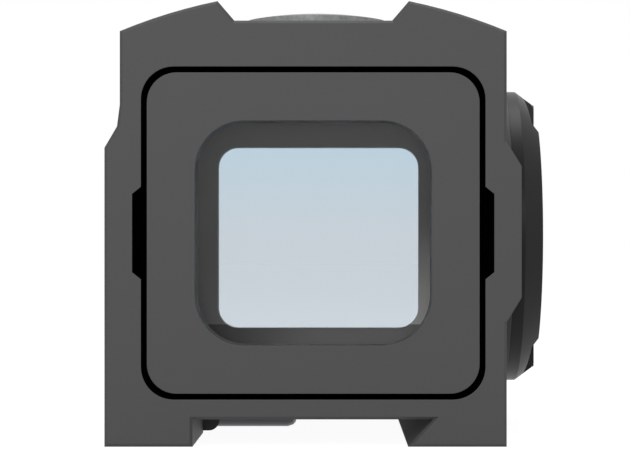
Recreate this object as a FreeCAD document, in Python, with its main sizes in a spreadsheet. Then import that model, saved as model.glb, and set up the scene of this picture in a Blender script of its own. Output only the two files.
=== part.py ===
import FreeCAD, Part
import math
import os
import re
import Sketcher
from FreeCAD import Vector

# A closed reflex sight. Origin: middle of the rail seat, the roof of the channel between the feet.
# +X to the battery side, +Y away from the shooter, +Z up. Millimetres and degrees.

doc = FreeCAD.newDocument("ReflexSight")
sheet = doc.addObject("Spreadsheet::Sheet", "Sizes")

sizes = {
    # housing envelope
    "bodyLength": 47, "bodyWidth": 27.2, "panelStep": 1.08, "panelTop": 19.1, "feetDepth": 1.92,
    "shoulderHeight": 27.3, "earHeight": 29.41, "earOffset": 6.73, "earRadius": 37.3,
    "notchHeight": 28.04, "notchHalf": 5.55, "edgeBreak": 0.2,
    "panelRise": 3.05, "panelLedge": 0.2, "panelLedgeRise": 1.5,
    "deckHeight": 26.4, "hoodLength": 7.5, "hoodSlope": 2.2, "deckBevel": 2.6,
    "guardStep": 1.04, "guardLow": 6.86, "guardHigh": 19.5, "guardBevel": 1.7, "guardLength": 15,
    # rail channel
    "channelLeft": 8.49, "channelRight": 8.43, "lipRight": 6.67,
    # clamp
    "jawLength": 22.4, "jawThick": 2.63, "jawReach": 7.27, "jawTop": 2.9, "jawLift": 0.15,
    "jawOpen": 1.3, "jawClose": 0.6, "jawRound": 0.8, "jawPlay": 0.15,
    "guidePinRadius": 1.75, "guidePinAxis": 0.1, "guidePinSpacing": 17.2, "guidePinLength": 8.4,
    "guidePinSink": 2.4, "guidePinCone": 0.8, "guidePinShort": 2.56,
    "clampAxis": 1.3, "clampThread": 1.25, "clampHead": 1.95, "clampHeadLong": 1.2,
    "clampNeck": 0.8, "clampTip": 1.15, "clampTipLong": 0.55, "clampCollar": 0.5, "clampClipLong": 0.35,
    "clampBreak": 0.2, "clampSink": 0.05, "clampEndPlay": 0.1, "socketRadius": 0.95, "socketDeep": 0.95,
    "clipWider": 0.5, "clipPlay": 0.02, "clipLow": 0.52,
    # optical axis, rear end
    "opticHeight": 13.1, "pocketWide": 24.2, "pocketTall": 23.4, "pocketRound": 2.3,
    "bezelGap": 0.42, "rearBezelThick": 3.2, "recessWide": 16.65, "recessTall": 15.8,
    "recessRound": 3.5, "pryDepth": 0.62, "pryRoot": 6.5, "pryTop": 5.5,
    "glassWide": 19.4, "glassTall": 18.4, "glassRound": 3, "glassThick": 1.5, "glassPlay": 0.1,
    "sealThick": 0.3, "sealLip": 0.7, "rearShelf": 0.6, "shelfWide": 17.9, "shelfTall": 16.9,
    # front end
    "frontBezelThick": 2, "lensWide": 21, "lensTall": 19.2, "lensRound": 3, "lensRear": 1.5,
    "lensStack": 3.2, "lensSag": 0.9, "lensCurve": 80, "cementGap": 0.02, "apertureWide": 17.84,
    "apertureTall": 16.06, "apertureRound": 1.76, "apertureLand": 1.5,
    "frontOpenWide": 19, "frontOpenTall": 17, "frontOpenRound": 2.4,
    # chamber between the two glasses
    "chamberLeft": 11.1, "chamberRight": 10.3, "chamberFloor": 3.45, "chamberRoof": 23.7,
    "bayHalf": 11.1, "bayFloor": 2.4, "bayRoof": 24.3, "bayLength": 4.7,
    # battery
    "cellRadius": 10, "cellThick": 3.2, "cellFloor": 11.3, "cellGap": 0.45,
    "capBore": 11.2, "bossRadius": 12.1, "capSeat": 15, "capFlange": 11.66, "capFace": 10.63,
    "capConeStart": 15.97, "capConeEnd": 17.38, "capBarTop": 17.55, "capBarHalf": 0.9,
    "capSlotHalf": 6.7, "capSlotDeep": 16.43, "capSlotShallow": 16.86, "capSkirt": 2.1,
    "capSkirtWall": 0.9, "capRoof": 15, "runPlay": 0.05, "oRing": 0.22, "capLift": 0.03,
    "contactThick": 0.2, "contactHalf": 6, "contactTall": 1.2,
    "tabSpacing": 4.4, "tabWide": 2, "tabTall": 1.6, "tabRound": 0.6,
    "cellShoulder": 0.5, "cellRim": 0.2, "cellStep": 0.9, "grooveStart": 0.1, "grooveEnd": 0.65,
    "grooveDeep": 0.5, "oRingInset": 0.28, "barSink": 0.4, "barRound": 0.5, "barShort": 0.1, "slotFlare": 0.8,
    # elevation
    "turretRadius": 6.6, "turretTop": 29.2, "turretBore": 3.6, "turretFloor": 26.6,
    "dialRadius": 5.7, "dialRim": 30.42, "dialApex": 30.97, "dialGap": 0.1,
    "spindleFlange": 3.5, "flangeThick": 0.7, "spindleNeck": 2.2, "spindleStem": 2,
    "plungerRadius": 1.2, "plungerLong": 3, "tipGap": 0.05, "retainerThick": 1.25,
    "dialBreak": 0.3, "dialSkin": 0.2, "spindleRoof": 0.95, "pinHole": 0.35, "pinHoleDeep": 0.5,
    "topSeal": 0.27, "topSealLift": 0.3, "topSealOut": 0.35, "plungerBreak": 0.4,
    # windage
    "windageBack": 6.7, "windageSeat": 13, "windageDisc": 2.9, "windageHead": 2.1,
    "windageStem": 2, "windageDiscThick": 0.7, "windageFace": 14.4, "snapOuter": 3.15,
    "snapThick": 0.35, "snapPlay": 0.05, "snapSlot": 0.5, "slotWide": 0.8, "slotDeep": 0.45,
    "sleeveStep": 0.7, "dialRoof": 0.6,
    # emitter carriage
    "frameThick": 1, "frameGap": 0.2, "carriageHalf": 10.5, "carriageInner": 9.5,
    "carriageLow": 3.2, "carriageInLow": 4.6, "carriageInHigh": 21.9, "carriageHigh": 23.2,
    "emitterHalf": 10.3, "emitterLow": 3, "emitterInLow": 4.3, "emitterInHigh": 22.1,
    "emitterHigh": 23.4, "tongueHalf": 2.6, "tongueThick": 0.8, "tongueEnd": 2.6, "tongueTop": 23.9,
    "tonguePlay": 0.7, "leafThick": 0.12, "leafHalf": 4, "leafRise": 0.4, "leafWide": 0.8,
    "ledLong": 0.9, "ledHalf": 1.4, "ledTall": 1.1, "ledLift": 0.1, "frameRound": 2.4,
    "flexThick": 0.15, "flexInset": 0.2, "leafSeat": 0.01, "leafInset": 0.1, "grooveLonger": 1.2,
    # keypad
    "coverLong": 22, "coverTall": 12.2, "coverRound": 2, "coverThick": 0.8, "coverPlay": 0.1,
    "gasketThick": 0.3, "keypadHeight": 12, "wellLong": 17.6, "wellTall": 9.6, "wellRound": 1.2,
    "wellFloor": 12, "boardThick": 0.8, "boardPlay": 0.2, "switchRise": 0.35, "switchHalf": 1.5,
    "buttonSpacing": 8.4, "buttonRadius": 2.9, "buttonFlange": 3.5, "buttonFlangeThick": 0.38,
    "buttonProud": 0.4, "buttonPlay": 0.1, "buttonRest": 0.04, "screwLong": 19, "screwTall": 9.2,
    "screwShank": 0.68, "screwHead": 1.1, "screwHeadLong": 0.5, "screwInto": 1.5, "screwPlay": 0.03,
    "screwSlotHalf": 0.7, "screwSlotWide": 0.3, "screwSlotDeep": 0.3, "switchRound": 0.4, "buttonBreak": 0.3,
    "wireHole": 0.7, "wireInset": 1.2,
    # purge screw, high on the left side near the front
    "purgeFront": 10.5, "purgeHeight": 21.5, "purgeHead": 1.5, "purgeHeadLong": 0.8, "purgeShank": 0.9,
    "purgeBreak": 0.15, "purgeSlotHalf": 0.25, "purgeSlotDeep": 0.43,
    # running clearances, and how far a cut runs past the metal
    "sinkPlay": 0.02, "pressPlay": 0.01, "arcSpare": 1.0001,
    "endPlay": 0.05, "axialPlay": 0.1, "past": 1, "overcut": 0.5,
}

for row, (name, number) in enumerate(sizes.items(), start=1):
    sheet.set(f"A{row}", name)
    sheet.set(f"B{row}", str(number))
    sheet.setAlias(f"B{row}", name)
doc.recompute()


def linked(text):
    # "bodyLength / 2" becomes "Sizes.bodyLength / 2", which the document can follow
    return re.sub(r"[A-Za-z]\w*", lambda word: "Sizes." + word[0] if word[0] in sizes else word[0], text)


def valueOf(text):
    found = sheet.evalExpression(linked(text))
    return float(getattr(found, "Value", found))


# Each origin plane: its role, and the way that its normal points along the third world axis.
planeRoles = {"XY": ("XY_Plane", 1), "XZ": ("XZ_Plane", -1), "YZ": ("YZ_Plane", 1)}


nodes = []


def newBody(name, kept=True):
    body = doc.addObject("PartDesign::Body", name)
    body.Label = name
    body.AllowCompound = True
    if kept:
        nodes.append(body)
    return body


def newSketch(body, plane, level, shiftX="0", shiftY="0"):
    # a sketch on one of the body's own planes, moved along the plane's axis to `level`
    role, way = planeRoles[plane]
    sketch = body.newObject("Sketcher::SketchObject", body.Name + "Sketch")
    base = next(item for item in body.Origin.OriginFeatures if item.Role == role)
    sketch.AttachmentSupport = [(base, "")]
    sketch.MapMode = "FlatFace"
    sketch.setExpression(".AttachmentOffset.Base.x", linked(shiftX))
    sketch.setExpression(".AttachmentOffset.Base.y", linked(shiftY))
    sketch.setExpression(".AttachmentOffset.Base.z", linked(f"({level}) * {way}"))
    return sketch


def pin(sketch, kind, text, *where):
    index = sketch.addConstraint(Sketcher.Constraint(kind, *where, valueOf(text)))
    sketch.setExpression(f"Constraints[{index}]", linked(text))


def place(sketch, item, end, x, y):
    pin(sketch, "DistanceX", x, -1, 1, item, end)
    pin(sketch, "DistanceY", y, -1, 1, item, end)


def outline(sketch, corners):
    # corners are (x, y) or (x, y, radius): with a radius, the edge to the next corner is an arc,
    # bulging to the left of its direction when the radius is positive
    spots = [Vector(valueOf(corner[0]), valueOf(corner[1]), 0) for corner in corners]
    first = sketch.GeometryCount
    for index, corner in enumerate(corners):
        start = spots[index]
        end = spots[(index + 1) % len(spots)]
        if len(corner) == 2:
            sketch.addGeometry(Part.LineSegment(start, end))
            continue
        radius = valueOf(corner[2])
        half = (end - start).Length / 2
        side = Vector(-(end - start).y, (end - start).x, 0).normalize()
        rise = abs(radius) - math.sqrt(radius * radius - half * half)
        middle = (start + end) / 2 + side * math.copysign(rise, radius)
        sketch.addGeometry(Part.Arc(start, middle, end))
    for index, corner in enumerate(corners):
        item = first + index
        nextItem = first + (index + 1) % len(corners)
        ends = []
        for checked in (item, nextItem):
            curve = sketch.Geometry[checked]
            spot = spots[(index + 1) % len(corners)]
            ends.append(1 if (curve.StartPoint - spot).Length < (curve.EndPoint - spot).Length else 2)
        sketch.addConstraint(Sketcher.Constraint("Coincident", item, ends[0], nextItem, ends[1]))
        place(sketch, nextItem, ends[1], *corners[(index + 1) % len(corners)][:2])
        if len(corner) == 3:
            pin(sketch, "Radius", f"abs({corner[2]})", item)


def roundedBox(sketch, wide, tall, corner, x="0", y="0"):
    corner = f"({corner})"
    left, right = f"{x} - ({wide}) / 2", f"{x} + ({wide}) / 2"
    low, high = f"{y} - ({tall}) / 2", f"{y} + ({tall}) / 2"
    outline(sketch, [
        (f"{left} + {corner}", low), (f"{right} - {corner}", low, f"-{corner}"),
        (right, f"{low} + {corner}"), (right, f"{high} - {corner}", f"-{corner}"),
        (f"{right} - {corner}", high), (f"{left} + {corner}", high, f"-{corner}"),
        (left, f"{high} - {corner}"), (left, f"{low} + {corner}", f"-{corner}"),
    ])


def box(sketch, left, right, low, high):
    outline(sketch, [(left, low), (right, low), (right, high), (left, high)])


def disc(sketch, radius, x="0", y="0"):
    middle = Vector(valueOf(x), valueOf(y), 0)
    item = sketch.addGeometry(Part.Circle(middle, Vector(0, 0, 1), valueOf(radius)))
    pin(sketch, "Radius", radius, item)
    place(sketch, item, 3, x, y)


def finish(body, feature, grows):
    # the feature must add or take material: one that points the wrong way changes nothing
    before = feature.BaseFeature.Shape.Volume if feature.BaseFeature else 0
    doc.recompute()
    change = feature.Shape.Volume - before
    if change * (1 if grows else -1) <= 0:
        raise ValueError(f"{body.Name}: {feature.Name} changed the volume by {change:.4f}")


def pad(body, plane, level, depth, draw):
    # `draw` fills the sketch; a positive depth grows towards the plane's positive world axis
    sketch = newSketch(body, plane, level)
    draw(sketch)
    feature = body.newObject("PartDesign::Pad", body.Name + "Pad")
    feature.Profile = sketch
    forward = valueOf(depth) > 0
    feature.setExpression("Length", linked(f"abs({depth})"))
    feature.Reversed = forward != (planeRoles[plane][1] > 0)
    finish(body, feature, True)


def pocket(body, plane, level, depth, draw):
    sketch = newSketch(body, plane, level)
    draw(sketch)
    feature = body.newObject("PartDesign::Pocket", body.Name + "Pocket")
    feature.Profile = sketch
    forward = valueOf(depth) > 0
    feature.setExpression("Length", linked(f"abs({depth})"))
    feature.Reversed = forward == (planeRoles[plane][1] > 0)
    finish(body, feature, False)


def turned(body, axis, corners, at=("0", "0", "0"), cut=False):
    # corners are (distance along the axis, radius); `at` is a point on the axis
    x, y, z = at
    if axis == "X":
        sketch = newSketch(body, "XY", z, x, y)
        outline(sketch, corners)
    elif axis == "Y":
        sketch = newSketch(body, "XY", z, x, y)
        outline(sketch, [(corner[1], corner[0], *corner[2:]) for corner in corners])
    else:
        sketch = newSketch(body, "XZ", y, x, z)
        outline(sketch, [(corner[1], corner[0], *corner[2:]) for corner in corners])
    feature = body.newObject("PartDesign::Groove" if cut else "PartDesign::Revolution", body.Name + "Turn")
    feature.Profile = sketch
    feature.ReferenceAxis = (sketch, ["H_Axis" if axis == "X" else "V_Axis"])
    feature.Angle = 360
    finish(body, feature, not cut)


def rod(body, axis, start, end, radius, at=("0", "0", "0"), cut=False):
    turned(body, axis, [(start, "0"), (end, "0"), (end, radius), (start, radius)], at, cut)


rear = "(-bodyLength / 2)"
front = "(bodyLength / 2)"
side = "bodyWidth / 2"
optic = "opticHeight"

# ---------------------------------------------------------------- places along the sight
rearPocketFloor = f"({rear} + rearBezelThick)"
rearGlassBack = f"({rearPocketFloor} + sealThick)"
rearGlassFront = f"({rearGlassBack} + glassThick)"
bayStart = f"({rearGlassFront} + rearShelf)"
bayEnd = f"({bayStart} + bayLength)"
frontPocketFloor = f"({front} - frontBezelThick)"
lensFront = f"({frontPocketFloor} - sealThick)"
lensBack = f"({lensFront} - lensStack)"
chamberEnd = f"({lensBack} - apertureLand)"
windageY = f"({rear} + windageBack)"
snapStart = "(windageSeat + windageDiscThick + snapPlay)"
carriageBack = f"({windageY} - frameThick / 2)"
emitterBack = f"({carriageBack} + frameThick + frameGap)"
emitterFront = f"({emitterBack} + frameThick)"
panelFace = f"(-{side} - panelStep)"
gasketFloor = f"({panelFace} + coverThick + gasketThick)"
jawBack = "(-jawReach - jawThick)"


def buildHousing():
    body = newBody("housing")

    def section(sketch):
        outline(sketch, [
            (panelFace, "-feetDepth"),
            ("-channelLeft", "-feetDepth"),
            ("-channelLeft", "0"),
            ("channelRight", "0"),
            ("lipRight", "-feetDepth"),
            (side, "-feetDepth"),
            (side, "shoulderHeight", "-earRadius"),
            ("earOffset", "earHeight"),
            ("notchHalf", "notchHeight"),
            ("-notchHalf", "notchHeight"),
            ("-earOffset", "earHeight", "-earRadius"),
            (f"-{side}", "shoulderHeight"),
            (f"-{side}", "panelTop + panelRise"),
            (f"-{side} - panelLedge", "panelTop + panelLedgeRise"),
            (panelFace, "panelTop"),
        ])

    pad(body, "XZ", rear, "bodyLength", section)
    breakEndEdges(body)

    # the deck between the two hoods, with sloping hood faces and bevelled sides
    def saddle(sketch):
        start, end = f"{rear} + hoodLength", f"{front} - hoodLength"
        outline(sketch, [
            (f"{start} - hoodSlope", "earHeight + 2 * past"), (f"{start} - hoodSlope", "earHeight"),
            (start, "deckHeight"), (end, "deckHeight"),
            (f"{end} + hoodSlope", "earHeight"), (f"{end} + hoodSlope", "earHeight + 2 * past"),
        ])

    pocket(body, "YZ", "-bodyWidth", "2 * bodyWidth", saddle)
    for hand in ("-", ""):
        def bevel(sketch, hand=hand):
            outline(sketch, [
                (f"{hand}({side} + past)", "deckHeight - deckBevel - past"),
                (f"{hand}({side} + past)", "deckHeight + past"),
                (f"{hand}({side} - deckBevel - past)", "deckHeight + past"),
            ])
        pocket(body, "XZ", f"{rear} + hoodLength", "bodyLength - 2 * hoodLength", bevel)

    # round battery boss and the guard rib beside the windage dial
    pad(body, "YZ", f"{side} - past", f"capSeat - {side} + past", lambda s: disc(s, "bossRadius", "0", optic))
    pad(body, "XZ", rear, "guardLength", lambda s: outline(s, [
        (f"{side} - past", "guardLow"), (side, "guardLow"),
        (f"{side} + guardStep", "guardLow + guardBevel"),
        (f"{side} + guardStep", "guardHigh - guardBevel"),
        (side, "guardHigh"), (f"{side} - past", "guardHigh"),
    ]))
    # turret under the elevation dial
    pad(body, "XY", "deckHeight - past", "turretTop - deckHeight + past", lambda s: disc(s, "turretRadius"))

    # rear end: bezel pocket with its pry notches, glass seat, shelf
    pocket(body, "XZ", rear, "rearBezelThick",
           lambda s: roundedBox(s, "pocketWide", "pocketTall", "pocketRound", y=optic))
    for hand in ("-", ""):
        def notch(sketch, hand=hand):
            outline(sketch, [
                (f"{hand}(pocketWide / 2 - past)", f"{optic} - pryRoot / 2"),
                (f"{hand}(pocketWide / 2)", f"{optic} - pryRoot / 2"),
                (f"{hand}(pocketWide / 2 + pryDepth)", f"{optic} - pryTop / 2"),
                (f"{hand}(pocketWide / 2 + pryDepth)", f"{optic} + pryTop / 2"),
                (f"{hand}(pocketWide / 2)", f"{optic} + pryRoot / 2"),
                (f"{hand}(pocketWide / 2 - past)", f"{optic} + pryRoot / 2"),
            ])
        pocket(body, "XZ", rear, "rearBezelThick", notch)
    pocket(body, "XZ", rearPocketFloor, "sealThick + glassThick",
           lambda s: roundedBox(s, "glassWide + 2 * glassPlay", "glassTall + 2 * glassPlay",
                                "glassRound + glassPlay", y=optic))
    pocket(body, "XZ", rearGlassFront, "rearShelf + overcut",
           lambda s: roundedBox(s, "shelfWide", "shelfTall", "glassRound", y=optic))

    # front end
    pocket(body, "XZ", front, "-frontBezelThick",
           lambda s: roundedBox(s, "pocketWide", "pocketTall", "pocketRound", y=optic))
    pocket(body, "XZ", frontPocketFloor, "-(sealThick + lensStack)",
           lambda s: roundedBox(s, "lensWide + 2 * glassPlay", "lensTall + 2 * glassPlay",
                                "lensRound + glassPlay", y=optic))
    pocket(body, "XZ", lensBack, "-(apertureLand + overcut)",
           lambda s: roundedBox(s, "apertureWide", "apertureTall", "apertureRound", y=optic))

    # chamber, carriage bay behind it, and the groove in the roof for the frame's tongue
    pocket(body, "XZ", bayStart, f"{chamberEnd} - {bayStart}",
           lambda s: box(s, "-chamberLeft", "chamberRight", "chamberFloor", "chamberRoof"))
    pocket(body, "XZ", bayStart, "bayLength", lambda s: box(s, "-bayHalf", "bayHalf", "bayFloor", "bayRoof"))
    pocket(body, "XZ", bayStart, f"tongueEnd + grooveLonger - {bayStart}",
           lambda s: box(s, "-tongueHalf - tonguePlay", "tongueHalf + tonguePlay",
                         "chamberRoof - overcut", "tongueTop + tonguePlay"))

    # battery well
    rod(body, "X", "cellFloor", "capSeat + past", "capBore", ("0", "0", optic), cut=True)
    # elevation bores
    rod(body, "Z", "turretFloor", "turretTop + past", "turretBore", cut=True)
    rod(body, "Z", "chamberRoof", "turretFloor + overcut", "spindleStem + runPlay", cut=True)
    # windage bores and the snap ring's groove
    seat = ("0", windageY, optic)
    turned(body, "X", [
        ("bayHalf - overcut", "0"), ("windageFace + past", "0"),
        ("windageFace + past", "windageDisc + runPlay"),
        (f"{snapStart} + snapThick + snapPlay", "windageDisc + runPlay"),
        (f"{snapStart} + snapThick + snapPlay", "snapOuter + runPlay"),
        (snapStart, "snapOuter + runPlay"), (snapStart, "windageDisc + runPlay"),
        ("windageSeat", "windageDisc + runPlay"), ("windageSeat", "windageStem + runPlay"),
        ("bayHalf + sleeveStep", "windageStem + runPlay"),
        ("bayHalf + sleeveStep", "plungerRadius + runPlay"),
        ("bayHalf - overcut", "plungerRadius + runPlay"),
    ], seat, cut=True)

    # keypad: recess for the cover, well for the board, screw holes, wire hole into the chamber
    pocket(body, "YZ", panelFace, "coverThick + gasketThick",
           lambda s: roundedBox(s, "coverLong + 2 * coverPlay", "coverTall + 2 * coverPlay",
                                "coverRound + coverPlay", y="keypadHeight"))
    pocket(body, "YZ", gasketFloor, f"-wellFloor - {gasketFloor}",
           lambda s: roundedBox(s, "wellLong", "wellTall", "wellRound", y="keypadHeight"))
    for across in ("-", ""):
        for up in ("-", ""):
            pocket(body, "YZ", gasketFloor, "screwInto",
                   lambda s, across=across, up=up: disc(s, "screwShank + screwPlay", f"{across}screwLong / 2",
                                                        f"keypadHeight + {up}screwTall / 2"))
    pocket(body, "YZ", "-wellFloor - overcut", "wellFloor - chamberLeft + 2 * overcut",
           lambda s: disc(s, "wireHole", "-wellLong / 2 + wireInset",
                          "keypadHeight - wellTall / 2 + wireInset"))

    # clamp: jaw pocket, grooves for the guide pins, screw hole
    pocket(body, "XZ", "-jawLength / 2 - jawPlay", "jawLength + 2 * jawPlay",
           lambda s: box(s, f"{jawBack} - jawOpen - jawPlay", "-channelLeft + jawClose + jawPlay",
                         "-feetDepth - past", "jawTop + jawPlay"))
    for hand in ("-", ""):
        rod(body, "X", "-channelLeft - overcut", "-jawReach + guidePinLength", "guidePinRadius + runPlay",
            ("0", f"{hand}guidePinSpacing / 2", "guidePinAxis"), cut=True)
    rod(body, "X", f"{panelFace} - past", jawBack, "clampThread + runPlay",
        ("0", "0", "clampAxis"), cut=True)
    rod(body, "X", f"{panelFace} - past", f"{panelFace} + clampHeadLong + jawClose + clampEndPlay",
        "clampHead + runPlay", ("0", "0", "clampAxis"), cut=True)

    # purge screw hole
    spot = ("0", f"{front} - purgeFront", "purgeHeight")
    rod(body, "X", f"-{side} - past", f"-{side} + purgeHeadLong", "purgeHead + screwPlay", spot, cut=True)
    rod(body, "X", f"-{side}", "-chamberLeft + overcut", "purgeShank + screwPlay", spot, cut=True)


def breakEndEdges(body):
    # a small chamfer round both end faces of the extruded section
    base = body.Tip
    half = valueOf(front)
    names = []
    for number, edge in enumerate(base.Shape.Edges, start=1):
        if all(abs(abs(vertex.Point.y) - half) < 1e-6 for vertex in edge.Vertexes):
            if abs(edge.Vertexes[0].Point.y - edge.Vertexes[-1].Point.y) < 1e-6:
                names.append(f"Edge{number}")
    chamfer = body.newObject("PartDesign::Chamfer", body.Name + "Chamfer")
    chamfer.Base = (base, names)
    chamfer.setExpression("Size", "Sizes.edgeBreak")
    finish(body, chamfer, False)


def buildPlateRing(name, start, thick, outer, inner):
    # a flat frame: outer and inner are (wide, tall, corner radius)
    body = newBody(name)
    pad(body, "XZ", start, thick, lambda s: roundedBox(s, *outer, y=optic))
    pocket(body, "XZ", start, thick, lambda s: roundedBox(s, *inner, y=optic))
    return body


def buildOptics():
    bezel = ("pocketWide - 2 * bezelGap", "pocketTall - 2 * bezelGap", "pocketRound - bezelGap / 2")
    buildPlateRing("rear_bezel", rear, "rearBezelThick", bezel, ("recessWide", "recessTall", "recessRound"))
    buildPlateRing("front_bezel", frontPocketFloor, "frontBezelThick", bezel,
                   ("frontOpenWide", "frontOpenTall", "frontOpenRound"))
    glass = ("glassWide", "glassTall", "glassRound")
    buildPlateRing("rear_window_seal", rearPocketFloor, "sealThick", glass,
                   ("glassWide - 2 * sealLip", "glassTall - 2 * sealLip", "glassRound"))
    lens = ("lensWide", "lensTall", "lensRound")
    buildPlateRing("objective_seal", lensFront, "sealThick", lens,
                   ("lensWide - 2 * sealLip", "lensTall - 2 * sealLip", "lensRound"))
    window = newBody("rear_window")
    pad(window, "XZ", rearGlassBack, "glassThick", lambda s: roundedBox(s, *glass, y=optic))

    # the objective is two elements cemented at a spherical face: one inside the sphere, one outside it
    crest = f"({lensBack} + lensRear + lensSag)"
    for name, kind, gap in (("objective_rear_lens", "Part::Common", "0"),
                            ("objective_front_lens", "Part::Cut", "cementGap")):
        blank = newBody(name + "_blank", kept=False)
        pad(blank, "XZ", lensBack, "lensStack", lambda s: roundedBox(s, *lens, y=optic))
        ball = doc.addObject("Part::Sphere", name + "_ball")
        ball.setExpression("Radius", linked(f"lensCurve + {gap}"))
        ball.setExpression("Placement.Base.y", linked(f"{crest} - lensCurve"))
        ball.setExpression("Placement.Base.z", linked(optic))
        element = doc.addObject(kind, name)
        element.Label = name
        element.Base = blank
        element.Tool = ball
        nodes.append(element)


def buildBattery():
    at = ("0", "0", optic)
    cell = newBody("battery_cell")
    base = "(cellFloor + cellGap)"
    turned(cell, "X", [(base, "0"), (f"{base} + cellThick", "0"), (f"{base} + cellThick", "cellRadius"),
                       (f"{base} + cellShoulder", "cellRadius"),
                       (f"{base} + cellRim", "cellRadius - cellStep"),
                       (base, "cellRadius - cellStep")], at)
    contact = newBody("battery_contact")
    pad(contact, "YZ", "cellFloor", "contactThick",
        lambda s: box(s, "-contactHalf", "contactHalf", f"{optic} - contactTall", f"{optic} + contactTall"))
    for hand in ("-", ""):
        pad(contact, "YZ", "cellFloor", "cellGap", lambda s, hand=hand: roundedBox(
            s, "tabWide", "tabTall", "tabRound", x=f"{hand}tabSpacing", y=optic))

    cap = newBody("battery_cap")
    skirt = "capBore - runPlay"
    turned(cap, "X", [
        ("capRoof", "0"), ("capConeEnd", "0"), ("capConeEnd", "capFace"),
        ("capConeStart", "capFlange"), ("capSeat + capLift", "capFlange"), ("capSeat + capLift", skirt),
        ("capSeat - grooveStart", skirt), ("capSeat - grooveStart", f"{skirt} - grooveDeep"),
        ("capSeat - grooveEnd", f"{skirt} - grooveDeep"), ("capSeat - grooveEnd", skirt),
        ("capSeat - capSkirt", skirt), ("capSeat - capSkirt", f"{skirt} - capSkirtWall"),
        ("capRoof", f"{skirt} - capSkirtWall"),
    ], at)
    # two finger recesses, deepest beside the grip bar between them
    for hand in ("-", ""):
        pocket(cap, "XY", f"{optic} - 2 * capFlange", "4 * capFlange", lambda s, hand=hand: outline(s, [
            ("capSlotDeep", f"{hand}capBarHalf"), ("capSlotShallow", f"{hand}capSlotHalf"),
            ("capConeEnd + past", f"{hand}(capSlotHalf + slotFlare)"),
            ("capConeEnd + past", f"{hand}capBarHalf"),
        ]))
    pad(cap, "YZ", "capConeEnd - barSink", "capBarTop - capConeEnd + barSink",
        lambda s: roundedBox(s, "2 * capBarHalf", "2 * capFace - barShort", "barRound", y=optic))
    seal = newBody("battery_cap_seal")
    ring, bend = "(capBore - oRingInset)", "oRing * arcSpare"
    centre = "(capSeat - (grooveStart + grooveEnd) / 2)"
    turned(seal, "X", [(f"{centre} - oRing", ring, bend), (f"{centre} + oRing", ring, bend)], at)


def buildElevation():
    dial = newBody("elevation_dial")
    low = "(turretTop + dialGap)"
    dome = "((dialRadius * dialRadius + (dialApex - dialRim) ^ 2) / (2 * (dialApex - dialRim)))"
    turned(dial, "Z", [(low, "spindleNeck + pressPlay"), (low, "dialRadius - dialBreak"),
                       (f"{low} + dialBreak", "dialRadius"),
                       ("dialRim", "dialRadius", f"-{dome}"), ("dialApex", "0.01"), ("dialApex", "0"),
                       ("dialRim - dialSkin", "0"), ("dialRim - dialSkin", "spindleNeck + pressPlay")])
    # coin slot across the dome
    pocket(dial, "XY", "dialApex + past", "dialRim - dialApex - past",
           lambda s: box(s, "-dialRadius - past", "dialRadius + past", "-slotWide / 2", "slotWide / 2"))
    spindle = newBody("elevation_spindle")
    flangeLow = "(turretFloor + endPlay)"
    stemLow = "(tongueTop + tonguePlay + axialPlay)"
    bore = "plungerRadius + runPlay"
    roof = "(dialRim - dialSkin - endPlay - spindleRoof)"
    turned(spindle, "Z", [
        (stemLow, bore), (stemLow, "spindleStem"), (flangeLow, "spindleStem"), (flangeLow, "spindleFlange"),
        (f"{flangeLow} + flangeThick", "spindleFlange"), (f"{flangeLow} + flangeThick", "spindleNeck"),
        (f"{roof} + spindleRoof", "spindleNeck"), (f"{roof} + spindleRoof", "0"), (roof, "0"), (roof, bore)])
    retainer = newBody("elevation_retainer")
    ringLow = f"({flangeLow} + flangeThick + endPlay)"
    ringInner, ringOuter = "spindleNeck + axialPlay", "turretBore - pressPlay"
    turned(retainer, "Z", [(ringLow, ringInner), (f"{ringLow} + retainerThick", ringInner),
                           (f"{ringLow} + retainerThick", ringOuter), (ringLow, ringOuter)])
    for hand in ("-", ""):
        pocket(retainer, "XY", f"{ringLow} + retainerThick", "-pinHoleDeep",
               lambda s, hand=hand: disc(s, "pinHole", f"{hand}(spindleNeck + turretBore) / 2"))
    seal = newBody("elevation_seal")
    height = f"({ringLow} + retainerThick + topSealLift)"
    ring, bend = "spindleNeck + topSealOut", "-topSeal * arcSpare"
    turned(seal, "Z", [(f"{height} - topSeal", ring, bend), (f"{height} + topSeal", ring, bend)])
    plunger = newBody("elevation_plunger")
    tip = "(tongueTop + tipGap)"
    turned(plunger, "Z", [(tip, "0"), (tip, "plungerRadius - plungerBreak"),
                          (f"{tip} + plungerBreak", "plungerRadius"),
                          (f"{tip} + plungerLong", "plungerRadius"), (f"{tip} + plungerLong", "0")])


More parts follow.
